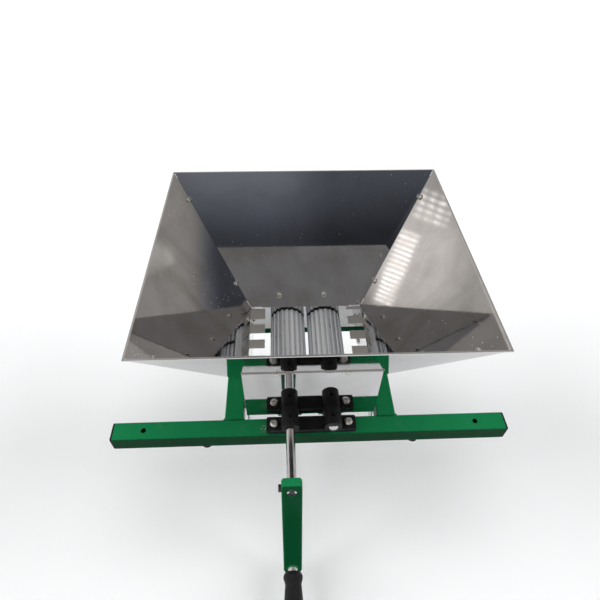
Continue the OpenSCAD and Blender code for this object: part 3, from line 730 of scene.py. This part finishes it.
def dress(piece: Piece, material: Finish) -> None:
    """Gives every material slot of a piece, or its only one, the finish.

    Args:
        piece: The piece.
        material: The finish.
    """
    if not piece.material_slots:
        piece.data.materials.append(material)
    for entry in piece.material_slots:
        entry.material = material


def place_piece(piece: Piece, body: Body, slot: Slot, material: Finish, *replaced: str) -> None:
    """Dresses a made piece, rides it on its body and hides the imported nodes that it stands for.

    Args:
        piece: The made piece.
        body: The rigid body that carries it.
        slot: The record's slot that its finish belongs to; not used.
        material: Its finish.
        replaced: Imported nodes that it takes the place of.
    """
    dress(piece, material)
    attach(piece, body.value)
    if replaced:
        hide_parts(*replaced)
    log.info("%s on %s, %d faces", piece.name, body.value, len(piece.data.polygons))


def ease_nodes(names: Sequence[str], width: float, body: Body, slot: Slot,
               material: Finish, segments: int = 2) -> None:
    """Puts an eased copy in the place of each named node.

    Args:
        names: The nodes' names.
        width: Width of the rounding on each edge, in metres.
        body: The rigid body that carries them.
        slot: The record's slot that their finish belongs to; not used.
        material: Their finish.
        segments: Faces across the rounding.
    """
    for name in names:
        place_piece(eased(name, width, segments), body, slot, material, name)


@dataclass
class TubeFrame:
    """The welded tube frame with its end caps and rubber stops."""

    tube: float = 0.025
    bar_gap: float = 0.168
    bar_length: float = 0.520
    side_bar_x: float = 0.103
    cap: float = 0.003
    stop_x: float = 0.142
    stop_r: float = 0.008
    corner: float = 0.0015
    stop_h: float = 0.015
    bead: float = 0.0021
    bead_sink: float = 0.0003
    cap_segments: int = 96

    def weld_beads(self) -> Piece:
        """Fillet welds where the side bars meet the crossbars.

        Each bead is a torus-like surface: a small circle carried round the bar's outline,
        its radius swelling once for each puddle of the weld, and more slowly five times round.

        Returns:
            The four beads as one piece.
        """
        steps, around, puddles = 264, 12, 44
        outline = rounded_square(self.tube / 2, self.corner, steps)
        outward = outline / np.linalg.norm(outline, axis=1, keepdims=True)
        t = np.arange(steps) / steps
        turn = np.linspace(0.0, 2.0 * math.pi, around, endpoint=False)
        lap = 2.0 * math.pi * t
        swell = self.bead * (1.0 + 0.16 * np.sin(puddles * lap) + 0.07 * np.sin(5.0 * lap))
        bulge = swell[:, None] * np.cos(turn)
        grids = []
        for x in (-self.side_bar_x, self.side_bar_x):
            for end in (-1.0, 1.0):
                across = outline[:, None, :] + outward[:, None, :] * bulge[..., None]
                along = end * (self.bar_gap / 2 - self.bead_sink) + 0.9 * swell[:, None] * np.sin(turn)
                grid = np.stack([x + across[..., 0], along, self.tube / 2 + across[..., 1]], axis=-1)
                grids.append((grid, True, True))
        return surfaces("weld_beads", grids, smooth_deg=60.0)

    def end_caps(self) -> Piece:
        """Plastic caps in the crossbar ends, with a rounded flange and a shallow crown.

        Each ring is the tube's outline scaled by a share, at a height: out from the plug,
        round the flange's edge and up over the crown to the middle.

        Returns:
            The four caps as one piece.
        """
        rings = np.array([
            [0.80, -0.0120], [0.82, -0.0020], [0.82, 0.00005], [0.985, 0.00005], [1.0, 0.0005],
            [1.0, 0.0017], [0.985, 0.0024], [0.94, 0.00275], [0.80, 0.0029], [0.60, 0.00295],
            [0.30, self.cap], [0.001, self.cap],
        ])
        outline = rounded_square(self.tube / 2, self.corner, self.cap_segments)
        grids = []
        for x in (-1.0, 1.0):
            for y in (-1.0, 1.0):
                across = rings[:, None, :1] * outline[None, :, :]
                out = np.broadcast_to(x * (self.bar_length / 2 + rings[:, 1])[:, None], across.shape[:2])
                centre_y = y * (self.bar_gap + self.tube) / 2
                grid = np.stack([out, centre_y + across[..., 0], self.tube / 2 + across[..., 1]], axis=-1)
                grids.append((grid, False, True))
        return surfaces("end_caps", grids, smooth_deg=40.0)

    def rubber_stops(self) -> Piece:
        """Turned rubber stops: a stem, a flange under the bar, a waist and a bellied foot.

        Returns:
            The four stops as one piece.
        """
        r, h = self.stop_r, self.stop_h
        profile = np.array([
            [0.0001, 0.007], [0.0036, 0.007], [0.0040, 0.0062], [0.0040, -0.0001], [r, -0.0001],
            [r, -0.0022], [0.93 * r, -0.0028], [0.90 * r, -0.0040], [0.90 * r, -0.0060],
            [0.95 * r, -0.0085], [r, -0.0110], [r, -0.0125], [0.97 * r, -0.0137],
            [0.90 * r, -0.0146], [0.80 * r, -h], [0.45 * r, -h], [0.40 * r, -h + 0.0012],
            [0.0001, -h + 0.0013],
        ])
        centre_y = (self.bar_gap + self.tube) / 2
        places = [(x * self.stop_x, y * centre_y, 0.0) for x in (-1, 1) for y in (-1, 1)]
        grids = [(turned(profile, place, Axis.UP), False, True) for place in places]
        return surfaces("rubber_stop_set", grids, smooth_deg=40.0)

    def build(self, paint: Finish, plastic: Finish, rubber: Finish) -> None:
        """Dresses the tubes and adds the beads, caps and stops.

        Args:
            paint: The powder coat.
            plastic: The caps' plastic.
            rubber: The stops' rubber.
        """
        for name in ("front_crossbar", "rear_crossbar", "left_side_bar", "right_side_bar"):
            dress(packed_nodes[name], paint)
            log.info("%s painted", name)
        place_piece(self.weld_beads(), Body.FRAME, Slot.GREEN_PAINT, paint)
        place_piece(self.end_caps(), Body.FRAME, Slot.BLACK_PLASTIC, plastic, "tube_end_caps")
        place_piece(self.rubber_stops(), Body.FRAME, Slot.BLACK_RUBBER, rubber, "rubber_stops")


@dataclass
class SheetWork:
    """The hopper and the crushing box of polished sheet, the matt combs and the fasteners."""

    fastener_edge: float = 0.00022
    hopper_polish: float = 0.012
    box_front_polish: float = 0.010
    box_rear_polish: float = 0.03
    box_side_polish: float = 0.06
    mill: Rgb = (0.56, 0.555, 0.54)
    mill_film: Rgb = (0.44, 0.435, 0.41)
    mill_polish: float = 0.38

    def build(self, zinc: Finish) -> None:
        """Dresses each sheet piece in its own cut of polished sheet.

        Args:
            zinc: The fasteners' plating.
        """
        cuts = {
            "hopper_front_panel": (Grain.ACROSS, self.hopper_polish),
            "hopper_rear_panel": (Grain.ACROSS, self.hopper_polish),
            "hopper_left_panel": (Grain.UP_THE_SIDES, self.hopper_polish),
            "hopper_right_panel": (Grain.UP_THE_SIDES, self.hopper_polish),
            "box_front_wall": (Grain.ACROSS, self.box_front_polish),
            "box_rear_wall": (Grain.ACROSS, self.box_rear_polish),
            "left_side_wall": (Grain.LENGTHWISE, self.box_side_polish),
            "right_side_wall": (Grain.LENGTHWISE, self.box_side_polish),
        }
        for seed, (name, (grain, polish)) in enumerate(cuts.items(), start=1):
            sheet = BrightSheet(f"{name}_sheet", grain, polish=polish, seed=seed)
            dress(packed_nodes[name], sheet.material())
            log.info("%s in polished sheet", name)
        for seed, name in enumerate(("left_comb", "right_comb"), start=len(cuts) + 1):
            mill = BrightSheet(f"{name}_mill_finish", Grain.ACROSS, self.mill, self.mill_film,
                               polish=self.mill_polish, seed=seed)
            dress(packed_nodes[name], mill.material())
            log.info("%s in mill finish", name)
        fasteners = ("box_rivets", "box_screws", "box_spacers", "seam_screws", "seam_nuts",
                     "throat_screws", "throat_nuts")
        ease_nodes(fasteners, self.fastener_edge, Body.FRAME, Slot.ZINC, zinc)


@dataclass
class Bearings:
    """The moulded bearing blocks and the screws that hold them."""

    block_edge: float = 0.0008
    screw_edge: float = 0.0003

    def build(self, plastic: Finish, zinc: Finish) -> None:
        """Puts eased blocks, screws and nuts in place.

        Args:
            plastic: The blocks' plastic.
            zinc: The screws' plating.
        """
        blocks = ("front_bearing_block", "rear_bearing_block")
        ease_nodes(blocks, self.block_edge, Body.FRAME, Slot.BLACK_PLASTIC, plastic, 3)
        ease_nodes(("block_screws", "block_nuts"), self.screw_edge, Body.FRAME, Slot.ZINC, zinc)


@dataclass
class Rollers:
    """Both rollers with their shafts, gears and set screws."""

    axis_x: float = 0.028
    axis_z: float = 0.040
    tooth_edge: float = 0.00018
    gear_edge: float = 0.0004

    def build(self, steel: Finish, gear_steel: Finish, dark: Finish) -> None:
        """Dresses both roller trains.

        Args:
            steel: The shafts' polished steel.
            gear_steel: The gears' machined steel.
            dark: The set screws' blackened steel.
        """
        for body, side in ((Body.DRIVE, -1.0), (Body.DRIVEN, 1.0)):
            part = body.value
            metal = RollerMetal(f"{part}_roller_metal", side * self.axis_x, self.axis_z).material()
            ease_nodes((f"{part}_roller",), self.tooth_edge, body, Slot.ROLLER_ALUMINIUM, metal, 1)
            ease_nodes((f"{part}_gear",), self.gear_edge, body, Slot.GEAR_STEEL, gear_steel)
            for name, finish in ((f"{part}_shaft", steel), (f"{part}_roller_screws", dark),
                                 (f"{part}_gear_screw", dark)):
                dress(packed_nodes[name], finish)
                log.info("%s dressed", name)


@dataclass
class Crank:
    """The crank arm with its clamp, spindle and grip."""

    axis_x: float = -0.028
    # Where the spindle's axis meets the front face of the leaning arm
    face_y: float = -0.22982
    arm_t: float = 0.0115
    lean_deg: float = 14.0
    collar_r: float = 0.0065
    spindle_r: float = 0.004
    run_play: float = 0.00006
    grip_clear: float = 0.005
    bead: float = 0.0013
    grip_z: float = -0.120
    grip_l: float = 0.095
    grip_r: float = 0.014
    neck_share: float = 0.78
    neck_l: float = 0.014
    end_l: float = 0.020
    end_r: float = 0.0101
    rib_depth: float = 0.00025
    ribs: int = 15
    seat_l: float = 0.0057
    seat_r: float = 0.0086
    arm_edge: float = 0.0007
    spindle_edge: float = 0.0004
    clamp_edge: float = 0.0003

    def grip(self) -> Piece:
        """The moulded grip: a collar, a neck, a long belly with fine ribs and a rounded end.

        It is a surface of revolution. The belly's radius grows along a quarter of a sine, and
        is pressed in by up to a quarter of a millimetre, once for each rib. The end is round
        by a quarter of a cosine.

        Returns:
            The grip, round its bore.
        """
        r, neck = self.grip_r, self.neck_share * self.grip_r
        bore = self.spindle_r + self.run_play
        s = np.linspace(0.0, 1.0, 90)
        h = self.neck_l + s * (self.grip_l - self.neck_l - self.end_l)
        belly = neck + (r - neck) * np.sin(0.5 * math.pi * s)
        pressed = self.rib_depth * (0.5 - 0.5 * np.cos(2.0 * math.pi * self.ribs * s))
        pressed = pressed * np.clip((s - 0.28) / 0.1, 0.0, 1.0)
        e = np.linspace(0.0, 1.0, 14)[1:]
        end_r = r - (r - self.end_r) * (1.0 - np.cos(0.5 * math.pi * e))
        end_h = self.grip_l - self.end_l + self.end_l * np.sin(0.5 * math.pi * e)
        start = np.array([
            [bore, 0.0], [neck - 0.0006, 0.0], [neck, 0.0005], [r - 0.0013, 0.0038],
            [r - 0.001, 0.0045], [r - 0.001, 0.0075], [r - 0.0013, 0.0083], [neck + 0.0002, 0.0135],
        ])
        seat = self.grip_l - self.seat_l
        finish = np.array([[self.seat_r + 0.0001, self.grip_l], [self.seat_r, seat], [bore, seat]])
        middle = np.stack([belly - pressed, h], axis=-1)
        end = np.stack([end_r, end_h], axis=-1)
        profile = np.concatenate([start, middle, end, finish, start[:1]])
        back = self.face_y - self.grip_clear
        grid = turned(profile, (self.axis_x, back, self.grip_z), Axis.TO_CRANK, 64)
        return surfaces("grip_moulding", [(grid, False, True)], smooth_deg=40.0)

    def spindle_welds(self) -> Piece:
        """Weld beads round the spindle where it enters and leaves the leaning arm.

        Each bead is a small circle carried round the spindle, and every point is moved along
        the spindle by its height times the tangent of the arm's lean, so that it follows the
        arm's face. Its radius swells a little once for each puddle of the weld.

        Returns:
            Both beads as one piece.
        """
        around, across, puddles = 96, 12, 14
        t = np.linspace(0.0, 2.0 * math.pi, around, endpoint=False)[:, None]
        s = np.linspace(0.0, 2.0 * math.pi, across, endpoint=False)[None, :]
        swell = self.bead * (1.0 + 0.12 * np.sin(puddles * t))
        lean = math.radians(self.lean_deg)
        rear_face = self.face_y + self.arm_t / math.cos(lean)
        grids = []
        for radius, face in ((self.collar_r, self.face_y), (self.spindle_r, rear_face)):
            reach = radius + swell * np.cos(s)
            z = reach * np.sin(t)
            y = face + z * math.tan(lean) + swell * np.sin(s)
            grid = np.stack([self.axis_x + reach * np.cos(t), y, self.grip_z + z], axis=-1)
            grids.append((grid, True, True))
        return surfaces("spindle_welds", grids, smooth_deg=60.0)

    def build(self, paint: Finish, plastic: Finish, zinc: Finish, dark: Finish) -> None:
        """Puts the crank's pieces in place.

        Args:
            paint: The arm's powder coat.
            plastic: The grip's plastic.
            zinc: The spindle's plating.
            dark: The clamp screw's blackened steel.
        """
        ease_nodes(("crank_arm",), self.arm_edge, Body.DRIVE, Slot.GREEN_PAINT, paint, 3)
        ease_nodes(("handle_spindle",), self.spindle_edge, Body.DRIVE, Slot.ZINC, zinc)
        ease_nodes(("crank_clamp_screw",), self.clamp_edge, Body.DRIVE, Slot.DARK_STEEL, dark)
        place_piece(self.spindle_welds(), Body.DRIVE, Slot.GREEN_PAINT, paint)
        place_piece(self.grip(), Body.GRIP, Slot.BLACK_PLASTIC, plastic, "handle_grip")


@dataclass(frozen=True)
class SoftLight:
    """A broad lamp so far away that it lights everything from one side.

    Mirrors show the room instead of the lamp itself.
    """

    name: str
    source: Point
    strength: float
    spread_deg: float

    def build(self) -> None:
        """Hangs the lamp."""
        light = bpy.data.lights.new(self.name, "SUN")
        light.energy = self.strength
        light.angle = math.radians(self.spread_deg)
        lamp = bpy.data.objects.new(self.name, light)
        lamp.rotation_mode = "QUATERNION"
        lamp.rotation_quaternion = (-Vector(self.source)).to_track_quat("-Z", "Y")
        lamp.visible_glossy = False
        bpy.context.scene.collection.objects.link(lamp)


@dataclass(frozen=True)
class LouvredLight:
    """A light with slats, as part of the room, at an azimuth from -X towards -Y.

    It hangs between two heights of a ray's direction. The pitch is the step of its slats, and
    the columns are the step of its upright bars, or 0 for none.
    """

    azimuth_deg: float
    half_width: float
    low: float
    high: float
    strength: float
    pitch: float
    columns: float = 0.0
    soft: float = 0.006

    def shine(self, room: Nodes, x: Socket, y: Socket, z: Socket) -> Socket:
        """Adds the light to the room.

        The direction's share across the azimuth gives the width, and its Z the height; sines of
        both part the light into slats and columns.

        Args:
            room: The world's nodes.
            x: Direction of the ray along X.
            y: Direction of the ray along Y.
            z: Direction of the ray along Z.

        Returns:
            The light's brightness.
        """
        turn = math.radians(self.azimuth_deg)
        across = room.plus(room.times(x, math.sin(turn)), room.times(y, -math.cos(turn)))
        ahead = room.band(room.plus(x, y), -0.2, -0.1, 1.0, 0.0)
        off = room.math("ABSOLUTE", across)
        wide = room.band(off, 0.75 * self.half_width, 1.25 * self.half_width, 1.0, 0.0)
        above = room.band(z, self.low - self.soft, self.low + self.soft)
        tall = room.times(above, room.band(z, self.high - self.soft, self.high + self.soft, 1.0, 0.0))
        wave = room.math("SINE", room.times(z, 2.0 * math.pi / self.pitch))
        light = room.times(room.band(wave, -0.5, 0.7, 0.12, 1.0), self.strength)
        if self.columns > 0.0:
            bars = room.math("SINE", room.times(across, 2.0 * math.pi / self.columns))
            light = room.times(light, room.band(bars, -0.6, 0.4, 0.25, 1.0))
        return room.times(room.times(light, ahead), room.times(wide, tall))


@dataclass
class Studio:
    """A pale floor, soft lamps on both sides, a plain room and the camera at the photograph's place.

    Each band of the room is where one of its edges begins and ends, along an axis of a ray's
    direction of length 1.
    """

    floor_z: float = -0.150
    floor_half: float = 9.0
    floor_seen: Rgb = (0.94, 0.95, 0.96)
    floor_bounce: Rgb = (0.06, 0.06, 0.057)
    lamps: tuple[SoftLight, ...] = (
        SoftLight("ceiling", (0.0, 0.16, 1.0), strength=1.27, spread_deg=50.0),
        SoftLight("left_window", (-1.0, 0.09, 0.60), strength=2.03, spread_deg=44.0),
        SoftLight("right_window", (1.0, 0.09, 0.60), strength=1.92, spread_deg=44.0),
    )
    louvres: tuple[LouvredLight, ...] = (
        LouvredLight(35.0, half_width=0.019, low=0.470, high=0.605, strength=2.3, pitch=0.0086),
        LouvredLight(33.2, half_width=0.034, low=0.628, high=0.674, strength=1.8, pitch=0.0105,
                     columns=0.021),
    )
    overhead: Band = (0.64, 0.85)
    open_side: Band = (0.05, 0.5)
    rear: Band = (0.10, 0.30)
    wall_edge: Band = (0.50, 0.575)
    wall_top: Band = (0.54, 0.74)
    wall_rise: Band = (0.33, 0.47)
    wall_turn: Band = (-0.02, 0.12)
    board_side: Band = (0.645, 0.665)
    board_front: Band = (0.485, 0.50)
    board_foot: Band = (0.545, 0.56)
    board_top: Band = (0.593, 0.603)
    board_light: float = 0.32
    glow_at: Point = (-0.69, -0.46, 0.57)
    glow_edge: Band = (0.990, 0.999)
    glow: float = 0.55
    matt_share: float = 0.14
    cool: Rgb = (0.92, 1.0, 1.20)
    warm: Rgb = (1.06, 1.0, 0.93)
    camera_at: Point = (-0.0326, -0.4002, 0.5900)
    yaw_deg: float = 2.841
    pitch_deg: float = 46.569
    roll_deg: float = 0.909
    focal_pixels: float = 465.93
    sensor_mm: float = 36.0

    def floor(self) -> None:
        """Lays a large plain floor below the crank.

        It looks pale to the camera and in the metal, and sends less light back up, as the
        ground under a machine does.
        """
        h, z = self.floor_half, self.floor_z
        corners = np.array([[-h, -h, z], [h, -h, z], [h, h, z], [-h, h, z]])
        floor = piece_from("floor", corners, np.array([[0, 1, 2, 3]]))
        g = Graph("plain_floor")
        pale = g.blend(g.noise(1.5, 4.0), self.floor_seen, tuple(0.985 * c for c in self.floor_seen))
        g.set(base_color=g.blend(g.seen(), self.floor_bounce, pale))
        g.set(roughness=0.85, specular_ior_level=0.1)
        dress(floor, g.material)

    def brightness(self, room: Nodes, direction: Socket) -> Socket:
        """How bright the room is in each direction.

        It is open and pale towards -X, dimmer overhead and behind the machine, and dark behind
        the camera, where a wall stands up to about 40 degrees. Louvred lights and a soft glow
        hang on the left, and a pale board stands on the right.

        Args:
            room: The world's nodes.
            direction: The direction of the ray.

        Returns:
            The brightness, where 1 is white.
        """
        x, y, z = room.axes(direction)
        ahead = room.times(y, -1.0)
        left = room.times(x, -1.0)
        open_sky = room.band(left, *self.open_side, 0.0, 0.26)
        base = room.plus(room.band(z, *self.overhead, 0.56, 0.42), open_sky)
        base = room.times(base, room.band(y, *self.rear, 1.0, 0.82))
        behind = room.band(z, *self.wall_top, 1.0, 0.0)
        behind = room.times(room.band(ahead, *self.wall_edge), behind)
        wall = room.band(x, *self.wall_turn, 1.0, 0.5)
        wall = room.times(room.band(z, *self.wall_rise, 0.06, 0.21), wall)
        lit = room.times(base, room.math("SUBTRACT", 1.0, behind))
        total = room.plus(lit, room.times(wall, behind))
        across = room.band(ahead, *self.board_front, 1.0, 0.0)
        across = room.times(room.band(x, *self.board_side), across)
        edge = room.times(room.band(z, *self.board_foot), room.band(z, *self.board_top, 1.0, 0.0))
        board = room.times(across, room.band(edge, 0.0, 1.0, 0.0, self.board_light))
        total = room.plus(total, board)
        dot = room.tree.nodes.new("ShaderNodeVectorMath")
        dot.operation = "DOT_PRODUCT"
        room.feed(dot.inputs[0], direction)
        dot.inputs[1].default_value = Vector(self.glow_at).normalized()
        total = room.plus(total, room.band(dot.outputs["Value"], *self.glow_edge, 0.0, self.glow))
        for light in self.louvres:
            total = room.plus(total, light.shine(room, x, y, z))
        return total

    def world(self) -> None:
        """Sets the room, whose light falls in part on matt things and in full on mirrors.

        The camera itself sees plain white.
        """
        world = bpy.data.worlds.new("plain_studio")
        bpy.context.scene.world = world
        room = Nodes(world)
        direction = room.tree.nodes.new("ShaderNodeTexCoord").outputs["Generated"]
        bright = self.brightness(room, direction)
        tint = room.blend(room.band(bright, 0.10, 0.45), self.cool, self.warm)
        scale = room.tree.nodes.new("ShaderNodeVectorMath")
        scale.operation = "SCALE"
        room.feed(scale.inputs[0], tint)
        room.feed(scale.inputs["Scale"], bright)
        path = room.tree.nodes.new("ShaderNodeLightPath")
        back = room.tree.nodes.new("ShaderNodeBackground")
        room.feed(back.inputs["Color"],
                  room.blend(path.outputs["Is Camera Ray"], scale.outputs["Vector"], (1.0, 1.0, 1.0)))
        room.feed(back.inputs["Strength"],
                  room.band(path.outputs["Is Diffuse Ray"], 0.0, 1.0, 1.0, self.matt_share))
        output = room.tree.nodes.new("ShaderNodeOutputWorld")
        room.feed(output.inputs["Surface"], back.outputs["Background"])

    def camera(self) -> None:
        """Puts the camera where the photograph was taken from."""
        yaw, pitch, roll = (math.radians(a) for a in (self.yaw_deg, self.pitch_deg, self.roll_deg))
        level = math.cos(pitch)
        ahead = Vector((math.sin(yaw) * level, math.cos(yaw) * level, -math.sin(pitch)))
        right = Vector((math.cos(yaw), -math.sin(yaw), 0.0))
        up = right.cross(ahead)
        across = math.cos(roll) * right + math.sin(roll) * up
        upright = math.cos(roll) * up - math.sin(roll) * right
        turn = Matrix((across, upright, -ahead)).transposed().to_4x4()
        lens = bpy.data.cameras.new("photo_camera")
        lens.sensor_fit = "HORIZONTAL"
        lens.sensor_width = self.sensor_mm
        lens.lens = self.focal_pixels / PHOTO_PIXELS * self.sensor_mm
        lens.clip_start, lens.clip_end = 0.02, 60.0
        camera = bpy.data.objects.new("photo_camera", lens)
        camera.matrix_world = Matrix.Translation(self.camera_at) @ turn
        bpy.context.scene.collection.objects.link(camera)
        bpy.context.scene.camera = camera

    def build(self) -> None:
        """Sets up floor, world, lamps and camera."""
        self.floor()
        self.world()
        for lamp in self.lamps:
            lamp.build()
        self.camera()
        bpy.context.scene.view_settings.view_transform = "Standard"
        log.info("studio ready")


def main() -> None:
    """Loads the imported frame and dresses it."""
    logging.basicConfig(level=logging.INFO, format="%(message)s")
    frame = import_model()
    packed_nodes.update(frame["nodes"])
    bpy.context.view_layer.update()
    paint = PowderCoat().material()
    plastic = MouldedPlastic().material()
    rubber = SoftRubber().material()
    zinc, steel, gear_steel, dark = (metal.material() for metal in (
        Plated("zinc_plate", (0.74, 0.74, 0.72), (0.48, 0.47, 0.44), polish=0.20),
        Plated("polished_shaft", (0.66, 0.66, 0.68), (0.50, 0.49, 0.47), polish=0.08, mottle=60.0),
        Plated("machined_gear", (0.40, 0.40, 0.41), (0.12, 0.11, 0.10), polish=0.32, mottle=120.0),
        Plated("blackened_screw", (0.10, 0.10, 0.11), (0.05, 0.05, 0.05), polish=0.35),
    ))
    TubeFrame().build(paint, plastic, rubber)
    SheetWork().build(zinc)
    Bearings().build(plastic, zinc)
    Rollers().build(steel, gear_steel, dark)
    Crank().build(paint, plastic, zinc, dark)
    Studio().build()


if __name__ == "__main__":
    main()
